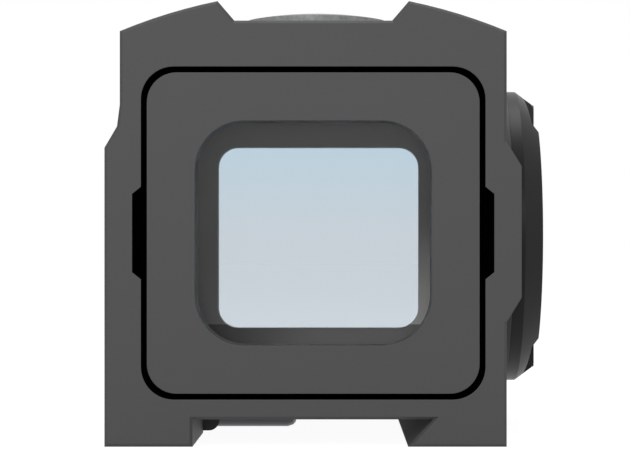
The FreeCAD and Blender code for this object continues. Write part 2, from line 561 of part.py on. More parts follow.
def buildWindage():
    at = ("0", windageY, optic)
    dial = newBody("windage_dial")
    bore = "plungerRadius + runPlay"
    inner = "bayHalf + sleeveStep + axialPlay"
    turned(dial, "X", [
        (inner, bore), (inner, "windageStem"), ("windageSeat + screwPlay", "windageStem"),
        ("windageSeat + screwPlay", "windageDisc"), ("windageSeat + windageDiscThick", "windageDisc"),
        ("windageSeat + windageDiscThick", "windageHead"), ("windageFace", "windageHead"),
        ("windageFace", "0"), ("windageFace - dialRoof", "0"), ("windageFace - dialRoof", bore)], at)
    pocket(dial, "YZ", "windageFace", "-slotDeep",
           lambda s: box(s, f"{windageY} - windageHead - past", f"{windageY} + windageHead + past",
                         f"{optic} - slotWide / 2", f"{optic} + slotWide / 2"))
    snap = newBody("windage_retainer")
    low = f"({snapStart} + snapPlay / 2)"
    turned(snap, "X", [(low, "windageHead + axialPlay"), (f"{low} + snapThick", "windageHead + axialPlay"),
                       (f"{low} + snapThick", "snapOuter"), (low, "snapOuter")], at)
    pocket(snap, "YZ", "windageSeat", "windageFace - windageSeat", lambda s: box(
        s, f"{windageY} - snapSlot", f"{windageY} + snapSlot", optic, f"{optic} + snapOuter + past"))
    plunger = newBody("windage_plunger")
    tip = "(carriageHalf + tipGap)"
    end = f"{tip} + plungerLong - plungerBreak"
    turned(plunger, "X", [(tip, "0"), (tip, "frameThick / 2"), (f"{tip} + plungerRadius", "plungerRadius"),
                          (end, "plungerRadius"), (end, "0")], at)


def buildEmitter():
    carriage = newBody("windage_carriage")
    pad(carriage, "XZ", carriageBack, "frameThick",
        lambda s: box(s, "-carriageHalf", "carriageHalf", "carriageLow", "carriageHigh"))
    pocket(carriage, "XZ", carriageBack, "frameThick",
           lambda s: roundedBox(s, "2 * carriageInner", "carriageInHigh - carriageInLow", "frameRound",
                                y="(carriageInHigh + carriageInLow) / 2"))
    emitterFrame = newBody("emitter_frame")
    pad(emitterFrame, "XZ", emitterBack, "frameThick",
        lambda s: box(s, "-emitterHalf", "emitterHalf", "emitterLow", "emitterHigh"))
    pocket(emitterFrame, "XZ", emitterBack, "frameThick",
           lambda s: roundedBox(s, "2 * carriageInner", "emitterInHigh - emitterInLow", "frameRound",
                                y="(emitterInHigh + emitterInLow) / 2"))
    pad(emitterFrame, "XZ", emitterBack, f"tongueEnd - {emitterBack}",
        lambda s: box(s, "-tongueHalf", "tongueHalf", "tongueTop - tongueThick", "tongueTop"))
    led = newBody("emitter_led")
    pad(led, "XZ", emitterFront, "ledLong",
        lambda s: box(s, "-ledHalf", "ledHalf", "emitterLow + ledLift", "emitterLow + ledLift + ledTall"))
    flex = newBody("emitter_flex")
    pad(flex, "XZ", emitterFront, "flexThick", lambda s: box(
        s, "-emitterHalf + flexInset", "-ledHalf", "emitterLow + flexInset", "emitterInLow - flexInset"))

    # bent leaf springs that push the carriage and the frame back onto their plungers
    profile = [("-leafHalf", "0"), ("-leafHalf / 3", "leafRise"), ("leafHalf / 3", "leafRise"),
               ("leafHalf", "0"),
               ("leafHalf", "-leafThick"), ("leafHalf / 3", "leafRise - leafThick"),
               ("-leafHalf / 3", "leafRise - leafThick"), ("-leafHalf", "-leafThick")]
    leafZ = newBody("emitter_spring")
    pad(leafZ, "XZ", f"{emitterBack} + leafInset", "leafWide", lambda s: outline(s, [
        (along, f"bayFloor + leafThick + leafSeat + {rise}") for along, rise in profile]))
    leafX = newBody("windage_spring")
    pad(leafX, "XZ", f"{carriageBack} + leafInset", "leafWide", lambda s: outline(s, [
        (f"-bayHalf + leafThick + leafSeat + {rise}", f"{optic} + {along}") for along, rise in profile]))


def buildKeypad():
    buttons = {"down_button": "-", "up_button": ""}
    screwSpots = [(f"{across}screwLong / 2", f"keypadHeight + {up}screwTall / 2")
                  for across in ("-", "") for up in ("-", "")]
    cover = newBody("keypad_cover")
    pad(cover, "YZ", panelFace, "coverThick",
        lambda s: roundedBox(s, "coverLong", "coverTall", "coverRound", y="keypadHeight"))
    for hand in buttons.values():
        pocket(cover, "YZ", panelFace, "coverThick", lambda s, hand=hand: disc(
            s, "buttonRadius + buttonPlay", f"{hand}buttonSpacing / 2", "keypadHeight"))
    gasket = newBody("keypad_gasket")
    gasketStart = f"({panelFace} + coverThick)"
    pad(gasket, "YZ", gasketStart, "gasketThick",
        lambda s: roundedBox(s, "coverLong", "coverTall", "coverRound", y="keypadHeight"))
    pocket(gasket, "YZ", gasketStart, "gasketThick",
           lambda s: roundedBox(s, "wellLong", "wellTall", "wellRound", y="keypadHeight"))
    screws = newBody("keypad_screws")
    for across, up in screwSpots:
        for body, radius, depth in ((cover, "screwHead + screwPlay", "screwHeadLong"),
                                    (cover, "screwShank + screwPlay", "coverThick"),
                                    (gasket, "screwShank + screwPlay", "coverThick + gasketThick")):
            pocket(body, "YZ", panelFace, depth, lambda s, r=radius, x=across, y=up: disc(s, r, x, y))
        pad(screws, "YZ", panelFace, "screwHeadLong", lambda s, x=across, y=up: disc(s, "screwHead", x, y))
        pad(screws, "YZ", panelFace, "coverThick + gasketThick + screwInto - axialPlay",
            lambda s, x=across, y=up: disc(s, "screwShank", x, y))
        pocket(screws, "YZ", panelFace, "screwSlotDeep", lambda s, x=across, y=up: box(
            s, f"{x} - screwSlotHalf", f"{x} + screwSlotHalf",
            f"{y} - screwSlotWide / 2", f"{y} + screwSlotWide / 2"))

    board = newBody("circuit_board")
    pad(board, "YZ", "-wellFloor", "-boardThick",
        lambda s: roundedBox(s, "wellLong - 2 * boardPlay", "wellTall - 2 * boardPlay",
                             "wellRound - boardPlay", y="keypadHeight"))
    switches = newBody("button_switches")
    boardFace = "(-wellFloor - boardThick)"
    for name, hand in buttons.items():
        spot = f"{hand}buttonSpacing / 2"
        pad(switches, "YZ", boardFace, "-switchRise", lambda s, spot=spot: roundedBox(
            s, "2 * switchHalf", "2 * switchHalf", "switchRound", x=spot, y="keypadHeight"))
        button = newBody(name)
        flangeFace = f"({panelFace} + coverThick + buttonRest)"
        pad(button, "YZ", flangeFace, "buttonFlangeThick",
            lambda s, spot=spot: disc(s, "buttonFlange", spot, "keypadHeight"))
        turned(button, "X", [
            (f"{flangeFace} + buttonRest", "0"), (f"{panelFace} - buttonProud", "0"),
            (f"{panelFace} - buttonProud", "buttonRadius - buttonBreak"),
            (f"{panelFace} - buttonProud + buttonBreak", "buttonRadius"),
            (f"{flangeFace} + buttonRest", "buttonRadius"),
        ], ("0", spot, "keypadHeight"))


def buildClamp():
    jaw = newBody("clamp_jaw")
    low = "(-feetDepth + jawLift)"
    pad(jaw, "XZ", "-jawLength / 2", "jawLength", lambda s: outline(s, [
        (jawBack, low), ("-jawReach - jawRound", low, "-jawRound"), ("-jawReach", f"{low} + jawRound"),
        ("-jawReach", "-clampSink"), ("-channelLeft", "-clampSink"), ("-channelLeft", "jawTop"),
        (jawBack, "jawTop"),
    ]))
    pins = newBody("jaw_guide_pins")
    for hand in ("-", ""):
        at = ("0", f"{hand}guidePinSpacing / 2", "guidePinAxis")
        rod(jaw, "X", "-jawReach - guidePinSink", "-jawReach + past", "guidePinRadius + pressPlay",
            at, cut=True)
        end = "(-jawReach + guidePinLength - guidePinShort)"
        turned(pins, "X", [("-jawReach - guidePinSink", "0"), (end, "0"),
                           (end, "guidePinRadius - guidePinCone"),
                           (f"{end} - guidePinCone", "guidePinRadius"),
                           ("-jawReach - guidePinSink", "guidePinRadius")], at)
    # the screw's neck turns in the jaw's back, held by a clip in a slot of the jaw
    at = ("0", "0", "clampAxis")
    slotStart = f"({jawBack} + clampCollar)"
    tipEnd = f"({slotStart} + clampClipLong + clampTipLong)"
    rod(jaw, "X", f"{jawBack} - past", f"{tipEnd} + endPlay", "clampTip + runPlay", at, cut=True)
    screw = newBody("clamp_screw")
    head = f"({panelFace} + clampSink)"
    turned(screw, "X", [
        (head, "0"), (head, "clampHead - clampBreak"), (f"{head} + clampBreak", "clampHead"),
        (f"{head} + clampHeadLong", "clampHead"), (f"{head} + clampHeadLong", "clampThread"),
        (f"{jawBack} - clampEndPlay", "clampThread"), (f"{jawBack} - clampEndPlay", "clampTip"),
        (slotStart, "clampTip"), (slotStart, "clampNeck"),
        (f"{slotStart} + clampClipLong", "clampNeck"), (f"{slotStart} + clampClipLong", "clampTip"),
        (tipEnd, "clampTip"), (tipEnd, "0")], at)
    # six-sided socket
    pocket(screw, "YZ", head, "socketDeep", lambda s: outline(s, [
        (f"socketRadius * cos({60 * turn})", f"clampAxis + socketRadius * sin({60 * turn})")
        for turn in range(6)]))
    # U-shaped clip, pushed up from the jaw's underside
    clipX = f"({slotStart} + clipPlay)"
    clipHalf = "(clampTip + clipWider)"
    pocket(jaw, "YZ", slotStart, "clampClipLong", lambda s: box(
        s, f"-{clipHalf} - clipPlay", f"{clipHalf} + clipPlay",
        "-feetDepth - past", f"clampAxis + {clipHalf}"))
    clip = newBody("clamp_clip")
    pad(clip, "YZ", clipX, "clampClipLong - 2 * clipPlay",
        lambda s: box(s, f"-{clipHalf}", clipHalf, "-feetDepth + clipLow",
                      f"clampAxis + {clipHalf} - clipPlay"))
    pocket(clip, "YZ", clipX, "clampClipLong - 2 * clipPlay",
           lambda s: box(s, "-clampNeck - runPlay", "clampNeck + runPlay", "-feetDepth - past", "clampAxis"))
    rod(clip, "X", f"{clipX} - past", f"{clipX} + past", "clampNeck + runPlay", at, cut=True)


def buildPurgeScrew():
    spot = ("0", f"{front} - purgeFront", "purgeHeight")
    screw = newBody("purge_screw")
    face = f"(-{side} + sinkPlay)"
    turned(screw, "X", [(face, "0"), (face, "purgeHead - purgeBreak"),
                        (f"{face} + purgeBreak", "purgeHead"),
                        (f"-{side} + purgeHeadLong", "purgeHead"), (f"-{side} + purgeHeadLong", "purgeShank"),
                        ("-chamberLeft - axialPlay", "purgeShank"), ("-chamberLeft - axialPlay", "0")], spot)
    pocket(screw, "YZ", face, "purgeSlotDeep", lambda s: box(
        s, f"{spot[1]} - purgeHead - past", f"{spot[1]} + purgeHead + past",
        "purgeHeight - purgeSlotHalf", "purgeHeight + purgeSlotHalf"))


buildHousing()
buildOptics()
buildBattery()
buildElevation()
buildWindage()
buildEmitter()
buildKeypad()
buildClamp()
buildPurgeScrew()
doc.recompute()

faults = [item.Name for item in doc.Objects if "Invalid" in item.State or "Error" in item.State]
if faults:
    raise ValueError("failed objects: " + ", ".join(faults))
for node in nodes:
    if node.Shape.isNull() or not node.Shape.isValid() or not node.Shape.Solids:
        raise ValueError("bad shape: " + node.Label)
os.makedirs("parts", exist_ok=True)
for node in nodes:
    node.Shape.exportStep(f"parts/{node.Label}.step")
    bounds = node.Shape.BoundBox
    print(f"{node.Label:24s} solids {len(node.Shape.Solids)} volume {node.Shape.Volume:10.3f}"
          f"  x {bounds.XMin:7.2f} {bounds.XMax:7.2f}  y {bounds.YMin:7.2f} {bounds.YMax:7.2f}"
          f"  z {bounds.ZMin:7.2f} {bounds.ZMax:7.2f}")
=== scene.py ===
import bpy
from math import pi, radians
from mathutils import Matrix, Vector


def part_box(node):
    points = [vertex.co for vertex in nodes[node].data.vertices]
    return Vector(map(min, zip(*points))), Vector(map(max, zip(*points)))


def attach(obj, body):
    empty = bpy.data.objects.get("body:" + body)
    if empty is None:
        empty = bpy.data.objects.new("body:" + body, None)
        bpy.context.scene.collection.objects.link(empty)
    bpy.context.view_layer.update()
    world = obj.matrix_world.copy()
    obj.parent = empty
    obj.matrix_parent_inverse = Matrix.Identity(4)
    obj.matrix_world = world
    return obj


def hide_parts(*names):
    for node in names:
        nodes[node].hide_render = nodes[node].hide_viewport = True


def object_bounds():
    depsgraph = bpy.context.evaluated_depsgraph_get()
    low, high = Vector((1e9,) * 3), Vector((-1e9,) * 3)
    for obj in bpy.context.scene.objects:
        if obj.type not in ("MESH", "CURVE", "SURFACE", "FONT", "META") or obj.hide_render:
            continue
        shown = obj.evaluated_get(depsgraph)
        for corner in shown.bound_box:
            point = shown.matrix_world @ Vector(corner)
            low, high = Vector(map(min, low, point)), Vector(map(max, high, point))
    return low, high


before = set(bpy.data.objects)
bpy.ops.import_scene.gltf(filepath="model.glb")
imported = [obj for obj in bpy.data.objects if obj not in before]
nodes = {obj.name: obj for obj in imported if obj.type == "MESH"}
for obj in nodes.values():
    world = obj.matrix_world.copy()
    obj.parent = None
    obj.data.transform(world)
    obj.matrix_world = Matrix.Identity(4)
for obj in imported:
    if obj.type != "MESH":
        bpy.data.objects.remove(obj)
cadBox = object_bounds()
mm = 0.001
print("frame loaded:", len(nodes), "nodes")


def linear(hexColour):
    # sRGB hex to the linear colour that shaders take
    channels = [int(hexColour[i:i + 2], 16) / 255 for i in (1, 3, 5)]
    return [c / 12.92 if c <= 0.04045 else ((c + 0.055) / 1.055) ** 2.4 for c in channels] + [1]


def addNode(material, kind, settings=None, links=None):
    # settings go to a socket of that name or number, or else to the node itself
    node = material.node_tree.nodes.new(kind)
    for name, value in (settings or {}).items():
        if isinstance(name, int) or name in node.inputs:
            node.inputs[name].default_value = value
        else:
            setattr(node, name, value)
    for name, source in (links or {}).items():
        material.node_tree.links.new(source, node.inputs[name])
    return node


def startMaterial(name):
    material = bpy.data.materials.new(name)
    material.use_nodes = True
    material.node_tree.nodes.clear()
    return material


def endMaterial(material, shader):
    addNode(material, "ShaderNodeOutputMaterial", links={"Surface": shader})
    return material


def blend(material, low, high, factor):
    # a colour that runs from low to high with factor
    ramp = addNode(material, "ShaderNodeValToRGB", links={"Fac": factor})
    ramp.color_ramp.elements[0].color = linear(low)
    ramp.color_ramp.elements[1].color = linear(high)
    return ramp.outputs["Color"]


blasted = {
    "gritSize": 0.16,       # mm, 180 mesh beads leave pits near 0.08 mm, drawn twice as coarse to show
    "cloudSize": 6.0,       # mm, faint unevenness of the dye
    "gritDepth": 0.010,     # mm
    "edgeRadius": 0.08,     # mm, every edge is tumbled before the bath
    "cloudShare": 0.65,     # share of the unevenness in the colour, the rest is grit
    "edgeShare": 0.4,       # how far an edge takes the paler tone
    "threadHeight": 24,     # times the grit's depth, over half a pitch
    "spread": 0.05,         # either side of the mean roughness
}


def insideBox(material, place, low, high):
    # 1 where the point lies between two corners given in millimetres
    parts = addNode(material, "ShaderNodeSeparateXYZ", links={"Vector": place})
    inside = None
    for axis in range(3):
        middle = (low[axis] + high[axis]) / 2 * mm
        reach = (high[axis] - low[axis]) / 2 * mm
        hit = addNode(material, "ShaderNodeMath", {
            "operation": "COMPARE", 1: middle, 2: reach},
            {0: parts.outputs[axis]}).outputs[0]
        inside = hit if inside is None else addNode(
            material, "ShaderNodeMath", {"operation": "MULTIPLY"}, {0: inside, 1: hit}).outputs[0]
    return inside


def paintOver(material, colour, region, hexColour):
    mix = addNode(material, "ShaderNodeMix", {"data_type": "RGBA"}, {0: region, 6: colour})
    mix.inputs[7].default_value = linear(hexColour)
    return mix.outputs[2]


def makeAnodised(name, dark, light, roughness, edgeTint, specular=0.5, threads=None, painted=(), sealed=(),
                 cloudSize=blasted["cloudSize"]):
    # Hard-anodised aluminium, machined then bead blasted: a matt grey oxide film with fine even grit,
    # a satin sheen, and slightly paler lines where handling has polished the tumbled edges.
    # painted: regions given another tone, used for painted light and painted shade; sealed: joints filled
    # with black epoxy, which give no sheen at all.
    material = startMaterial(name)
    place = addNode(material, "ShaderNodeTexCoord").outputs["Object"]
    grit = addNode(material, "ShaderNodeTexNoise", {"Scale": 1 / (blasted["gritSize"] * mm), "Detail": 2.0},
                   {"Vector": place}).outputs["Fac"]
    cloud = addNode(material, "ShaderNodeTexNoise", {"Scale": 1 / (cloudSize * mm), "Detail": 3.0},
                    {"Vector": place}).outputs["Fac"]
    cloudShare = addNode(material, "ShaderNodeMath", {"operation": "MULTIPLY", 1: blasted["cloudShare"]},
                         {0: cloud}).outputs[0]
    mixed = addNode(material, "ShaderNodeMath", {"operation": "MULTIPLY_ADD", 1: 1 - blasted["cloudShare"]},
                    {0: grit, 2: cloudShare}).outputs[0]
    colour = blend(material, dark, light, mixed)
    soft = addNode(material, "ShaderNodeBevel",
                   {"Radius": blasted["edgeRadius"] * mm, "samples": 6}).outputs["Normal"]
    flat = addNode(material, "ShaderNodeNewGeometry").outputs["Normal"]
    turn = addNode(material, "ShaderNodeVectorMath", {"operation": "DOT_PRODUCT"},
                   {0: soft, 1: flat}).outputs["Value"]
    edge = addNode(material, "ShaderNodeMapRange", {
        "From Min": 0.995, "From Max": 0.8, "To Min": 0.0, "To Max": blasted["edgeShare"]},
        {"Value": turn}).outputs["Result"]
    colour = paintOver(material, colour, edge, edgeTint)
    # the sight is alike left to right and end to end, so regions are given for positive x and y only
    folded = addNode(material, "ShaderNodeVectorMath", {"operation": "ABSOLUTE"},
                     {0: place}).outputs["Vector"]
    parts = addNode(material, "ShaderNodeSeparateXYZ", links={"Vector": folded})
    apart = addNode(material, "ShaderNodeSeparateXYZ", links={"Vector": place})
    mirrored = addNode(material, "ShaderNodeCombineXYZ", links={
        "X": parts.outputs["X"], "Y": parts.outputs["Y"], "Z": apart.outputs["Z"]}).outputs["Vector"]
    # painted light and painted shade laid over the given regions
    for low, high, tone in painted:
        colour = paintOver(material, colour, insideBox(material, mirrored, low, high), tone)
    height = grit
    if threads:
        # a screw thread cut on the turned part, drawn as a wave along its axis
        along = apart.outputs["X"]
        inside = addNode(material, "ShaderNodeMath", {"operation": "LESS_THAN", 1: threads["end"]},
                         {0: along}).outputs[0]
        wave = addNode(material, "ShaderNodeMath", {"operation": "PINGPONG", 1: threads["pitch"] / 2},
                       {0: along}).outputs[0]
        tall = addNode(material, "ShaderNodeMath", {
            "operation": "MULTIPLY", 1: blasted["threadHeight"] / threads["pitch"]}, {0: wave}).outputs[0]
        height = addNode(material, "ShaderNodeMath", {"operation": "MULTIPLY_ADD"},
                         {0: tall, 1: inside, 2: grit}).outputs[0]
    bump = addNode(material, "ShaderNodeBump", {"Strength": 0.5, "Distance": blasted["gritDepth"] * mm},
                   {"Height": height, "Normal": soft}).outputs["Normal"]
    rough = addNode(material, "ShaderNodeMapRange", {
        "To Min": roughness - blasted["spread"], "To Max": roughness + blasted["spread"]},
        {"Value": cloud}).outputs["Result"]
    film = addNode(material, "ShaderNodeBsdfPrincipled", {
        "Metallic": 0.0, "IOR": 1.65, "Specular IOR Level": specular},
        {"Base Color": colour, "Roughness": rough, "Normal": bump})
    shader = film.outputs[0]
    epoxy = addNode(material, "ShaderNodeBsdfDiffuse", {"Color": linear("#040404"), "Roughness": 0.9})
    for low, high in sealed:
        shader = addNode(material, "ShaderNodeMixShader", links={
            0: insideBox(material, mirrored, low, high), 1: shader, 2: epoxy.outputs[0]}).outputs[0]
    return endMaterial(material, shader)


def makeMetal(name, dark, light, roughness, grain, stretch=(1, 1, 1), depth=0.006):
    # Bare or plated metal, turned, stamped or blackened: mirror-like, with the fine marks of the work.
    material = startMaterial(name)
    place = addNode(material, "ShaderNodeTexCoord").outputs["Object"]
    lay = addNode(material, "ShaderNodeMapping", {"Scale": stretch}, {"Vector": place}).outputs["Vector"]
    marks = addNode(material, "ShaderNodeTexNoise", {"Scale": 1 / (grain * mm), "Detail": 4.0},
                    {"Vector": lay}).outputs["Fac"]
    colour = blend(material, dark, light, marks)
    soft = addNode(material, "ShaderNodeBevel", {"Radius": 0.05 * mm, "samples": 4}).outputs["Normal"]
    bump = addNode(material, "ShaderNodeBump", {"Strength": 0.4, "Distance": depth * mm},
                   {"Height": marks, "Normal": soft}).outputs["Normal"]
    rough = addNode(material, "ShaderNodeMapRange", {"To Min": roughness - 0.08, "To Max": roughness + 0.08},
                    {"Value": marks}).outputs["Result"]
    metal = addNode(material, "ShaderNodeBsdfPrincipled", {"Metallic": 1.0},
                    {"Base Color": colour, "Roughness": rough, "Normal": bump})
    return endMaterial(material, metal.outputs[0])


def makeMoulded(name, dark, light, roughness, grain, depth=0.01, ior=1.5, coat=0.0):
    # Moulded or cast, not metal: rubber, resin, solder mask. Even colour with a fine skin from the mould.
    material = startMaterial(name)
    place = addNode(material, "ShaderNodeTexCoord").outputs["Object"]
    skin = addNode(material, "ShaderNodeTexNoise", {"Scale": 1 / (grain * mm), "Detail": 3.0},
                   {"Vector": place}).outputs["Fac"]
    colour = blend(material, dark, light, skin)
    bump = addNode(material, "ShaderNodeBump", {"Strength": 0.5, "Distance": depth * mm},
                   {"Height": skin}).outputs["Normal"]
    rough = addNode(material, "ShaderNodeMapRange", {"To Min": roughness - 0.06, "To Max": roughness + 0.06},
                    {"Value": skin}).outputs["Result"]
    solid = addNode(material, "ShaderNodeBsdfPrincipled", {"IOR": ior, "Coat Weight": coat},
                    {"Base Color": colour, "Roughness": rough, "Normal": bump})
    return endMaterial(material, solid.outputs[0])


def makeGlass(name, lowTint, highTint, lowest, highest, sheen):
    # Optical glass with vacuum-coated faces: nearly clear, a faint coloured film that deepens to the top,
    # and a weak reflection that grows at low angles. Each ray meets two faces, so each carries half the tint.
    material = startMaterial(name)
    place = addNode(material, "ShaderNodeTexCoord").outputs["Object"]
    up = addNode(material, "ShaderNodeSeparateXYZ", links={"Vector": place}).outputs["Z"]
    rise = addNode(material, "ShaderNodeMapRange", {"From Min": lowest, "From Max": highest},
                   {"Value": up}).outputs["Result"]
    tint = blend(material, lowTint, highTint, rise)
    clear = addNode(material, "ShaderNodeBsdfTransparent", links={"Color": tint})
    gloss = addNode(material, "ShaderNodeBsdfGlossy", {"Roughness": 0.02, "Color": linear(sheen)})
    amount = addNode(material, "ShaderNodeFresnel", {"IOR": 1.15}).outputs["Fac"]
    return endMaterial(material, addNode(material, "ShaderNodeMixShader", links={
        0: amount, 1: clear.outputs[0], 2: gloss.outputs[0]}).outputs[0])


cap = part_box("battery_cap")
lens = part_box("objective_rear_lens")
ends = {
    # millimetres, low corner and high corner
    "joint": ((0, 20.1, 0.9), (12.9, 23.46, 25.3)),         # pocket round either bezel
    # chamber: the inside between the glasses is painted pale, painted light for lamp light that hardly gets
    # in there
    "chamber": ((0, 0, 2.3), (11.15, 20.1, 24.45)),         # everything between the two glasses
    # chamberFoot: its floor gets a less pale painted light, since the lamps do reach it
    "chamberFoot": ((0, 0, 2.3), (11.15, 20.1, 5.4)),       # its floor, which the lamps reach
    # recess: its walls are painted dark, painted shade inside the window opening
    "recess": ((0, 20.2, 5.0), (8.6, 23.46, 21.2)),         # window opening in the rear bezel
    "bezelSides": ((9.6, 0, 0), (13, 23.46, 26)),
    "bezelTop": ((0, 0, 21.9), (13, 23.46, 26)),
    "bezelFoot": ((0, 0, 0), (13, 23.46, 4.3)),
}
# the body's chamber is painted pale all over and less pale on its floor: painted light standing in for the
# light inside
anodisedBody = makeAnodised(
    "hardAnodisedAluminium", "#2f2f2f", "#3a3a3a", 0.58, "#5e5e5e", 0.3,
    painted=[(*ends["chamber"], "#dadad9"), (*ends["chamberFoot"], "#828281")], sealed=[ends["joint"]])
# the walls of the bezel's window opening are painted dark: painted shade
bezelFilm = makeAnodised(
    "hardAnodisedBezel", "#2f2f2f", "#3a3a3a", 0.58, "#5e5e5e", 0.3, painted=[(*ends["recess"], "#1c1c1c")],
    sealed=[ends["bezelSides"], ends["bezelTop"], ends["bezelFoot"]])
anodisedInner = makeAnodised("hardAnodisedInner", "#363737", "#414242", 0.6, "#5c5c5c", 0.3)
# turned, and given a colour much darker than the body's, so the cap reads nearly black
anodisedCap = makeAnodised("hardAnodisedCap", "#0e0f0f", "#171818", 0.4, "#4c4e4e", 0.13,
                           {"end": cap[0][0] + 1.9 * mm, "pitch": 1.0 * mm})
# coarse-blasted dial whose pale mottle is painted light: light from above and glints on its grit, painted
# pale into the colour
dialPaintedLight = makeAnodised("blastedDialPaintedLight", "#303131", "#a4a6a6", 0.5, "#9a9a9a", 0.35, cloudSize=0.5)
# steel blackened in hot oxide: dark, with a dull oily gleam on its edges
blackOxide = makeMetal("blackOxideSteel", "#1d1d1f", "#2c2c2f", 0.42, 0.2)
# centreless-ground steel pin, blued: fine marks round it
groundPin = makeMetal("groundPinSteel", "#3a3a3c", "#4a4a4d", 0.34, 0.2, (0.2, 1, 1))
# cold-rolled spring strip: bright, with rolling lines
springSteel = makeMetal("rolledSpringSteel", "#9a9a9c", "#bcbcbe", 0.28, 0.15, (1, 1, 0.1))
# milled brass: warm, with cutter marks
turnedBrass = makeMetal("milledBrass", "#b08d48", "#cfae68", 0.32, 0.2, (1, 0.15, 1))
# nickel plate on pressed steel: soft mirror, slightly warm
nickelPlate = makeMetal("nickelPlatedSteel", "#b9b8b2", "#d2d1cb", 0.2, 0.25)
# moulded nitrile: near black and dull
nitrileRubber = makeMoulded("nitrileRubber", "#141414", "#202020", 0.62, 0.3)
# moulded silicone: charcoal, with a matt skin
siliconeRubber = makeMoulded("siliconeRubber", "#242526", "#303132", 0.7, 0.25, 0.012)
# solder mask on glass-epoxy board: green gloss
solderMask = makeMoulded("solderMaskBoard", "#0a2f1b", "#124a2b", 0.35, 0.8, 0.01, 1.55, 0.3)
# cast epoxy over the emitter: amber and glossy
ledResin = makeMoulded("amberEpoxy", "#b8460f", "#d8641c", 0.15, 1.0, 0.002, 1.55, 0.5)
# polyimide film: amber brown, slightly wavy
flexFilm = makeMoulded("polyimideFilm", "#9a5a17", "#b8721f", 0.3, 1.2, 0.004, 1.7)
# anti-reflection coated float glass, and the objective whose coating returns the dot
tint = {"lowest": 9.5, "highest": 1.0}       # mm up from the lens's low edge, and down from its top
clearGlass = makeGlass("coatedWindowGlass", "#fefefe", "#fefefe", lens[0][2], lens[1][2], "#d4d8da")
tintedGlass = makeGlass("dichroicObjectiveGlass", "#e4e9ed", "#dde9f0", lens[0][2] + tint["lowest"] * mm,
                        lens[1][2] - tint["highest"] * mm, "#e09a8c")

finishes = {
    "housing": anodisedBody, "rear_bezel": bezelFilm, "front_bezel": bezelFilm, "keypad_cover": anodisedInner,
    "battery_cap": anodisedCap, "elevation_dial": dialPaintedLight, "clamp_jaw": anodisedInner,
    "emitter_frame": anodisedInner, "rear_window": clearGlass, "objective_front_lens": clearGlass,
    "objective_rear_lens": tintedGlass, "rear_window_seal": nitrileRubber, "objective_seal": nitrileRubber,
    "battery_cap_seal": nitrileRubber, "elevation_seal": nitrileRubber, "keypad_gasket": nitrileRubber,
    "up_button": siliconeRubber, "down_button": siliconeRubber, "battery_cell": nickelPlate,
    "battery_contact": nickelPlate, "elevation_spindle": turnedBrass, "windage_carriage": turnedBrass,
    "elevation_retainer": blackOxide, "windage_dial": blackOxide, "keypad_screws": blackOxide,
    "jaw_guide_pins": blackOxide, "clamp_screw": blackOxide, "purge_screw": blackOxide,
    "elevation_plunger": springSteel, "windage_plunger": springSteel, "windage_retainer": groundPin,
    "windage_spring": springSteel, "emitter_spring": springSteel, "button_switches": springSteel,
    "clamp_clip": springSteel, "circuit_board": solderMask, "emitter_led": ledResin, "emitter_flex": flexFilm,
}
for name, material in finishes.items():
    for slot in nodes[name].material_slots:
        slot.material = material
print("finishes given to", len(finishes), "nodes; without one:", sorted(set(nodes) - set(finishes)))


def editMode(on):
    bpy.ops.object.mode_set(mode="EDIT" if on else "OBJECT")


def takeUp(piece):
    # leaves this piece alone selected
    bpy.ops.object.select_all(action="DESELECT")
    piece.select_set(True)
    bpy.context.view_layer.objects.active = piece


def placeInMesh():
    bpy.ops.object.transform_apply(location=True, rotation=True, scale=True)
    return bpy.context.object


def middleOf(box):
    return [(a + b) / 2 for a, b in zip(*box)]


def pickFaces(piece, rule):
    # selects the faces for which rule(centre, normal) holds, and stays in edit mode
    takeUp(piece)
    editMode(True)
    bpy.ops.mesh.select_mode(type="FACE")
    bpy.ops.mesh.select_all(action="DESELECT")
    editMode(False)
    for face in piece.data.polygons:
        face.select = bool(rule(face.center, face.normal))
    editMode(True)


def turnPiece(name, start, way, steps, sides=64):
    # a turned part: a disc at start, grown step by step along way; steps are (distance, radius) in mm
    bpy.ops.object.select_all(action="DESELECT")
    way = Vector(way)
    bpy.ops.mesh.primitive_circle_add(
        vertices=sides, radius=steps[0][1] * mm, fill_type="NGON", location=start,
        rotation=way.to_track_quat("Z", "Y").to_euler())
    piece = placeInMesh()
    piece.name = name
    editMode(True)
    bpy.ops.mesh.select_all(action="SELECT")
    for (at, radius), (nextAt, nextRadius) in zip(steps, steps[1:]):
        bpy.ops.mesh.extrude_region_move(TRANSFORM_OT_translate={"value": way * (nextAt - at) * mm})
        grow = nextRadius / radius
        centre = Vector(start) + way * nextAt * mm
        bpy.ops.transform.resize(value=(grow, grow, grow), center_override=centre)
    bpy.ops.mesh.select_all(action="SELECT")
    bpy.ops.mesh.remove_doubles(threshold=0.0005 * mm)
    bpy.ops.mesh.normals_make_consistent(inside=False)
    editMode(False)
    return piece


def cutAway(piece, cutter):
    takeUp(piece)
    bpy.ops.object.modifier_add(type="BOOLEAN")
    cut = piece.modifiers[-1]
    cut.operation = "DIFFERENCE"
    cut.solver = "EXACT"
    cut.object = cutter
    bpy.ops.object.modifier_apply(modifier=cut.name)
    bpy.data.objects.remove(cutter)


def blockCutter(centre, size):
    bpy.ops.mesh.primitive_cube_add(size=1, location=centre)
    bpy.context.object.scale = size
    return placeInMesh()


def boreCutter(centre, radius, depth, way, sides=6):
    bpy.ops.mesh.primitive_cylinder_add(vertices=sides, radius=radius, depth=depth, location=centre,
                                        rotation=Vector(way).to_track_quat("Z", "Y").to_euler())
    return placeInMesh()


def copyPiece(piece, name, step):
    takeUp(piece)
    bpy.ops.object.duplicate()
    bpy.ops.transform.translate(value=step)
    twin = placeInMesh()
    twin.name = name
    return twin


def joinPieces(pieces, name):
    takeUp(pieces[0])
    for piece in pieces:
        piece.select_set(True)
    bpy.ops.object.join()
    pieces[0].name = name
    return pieces[0]


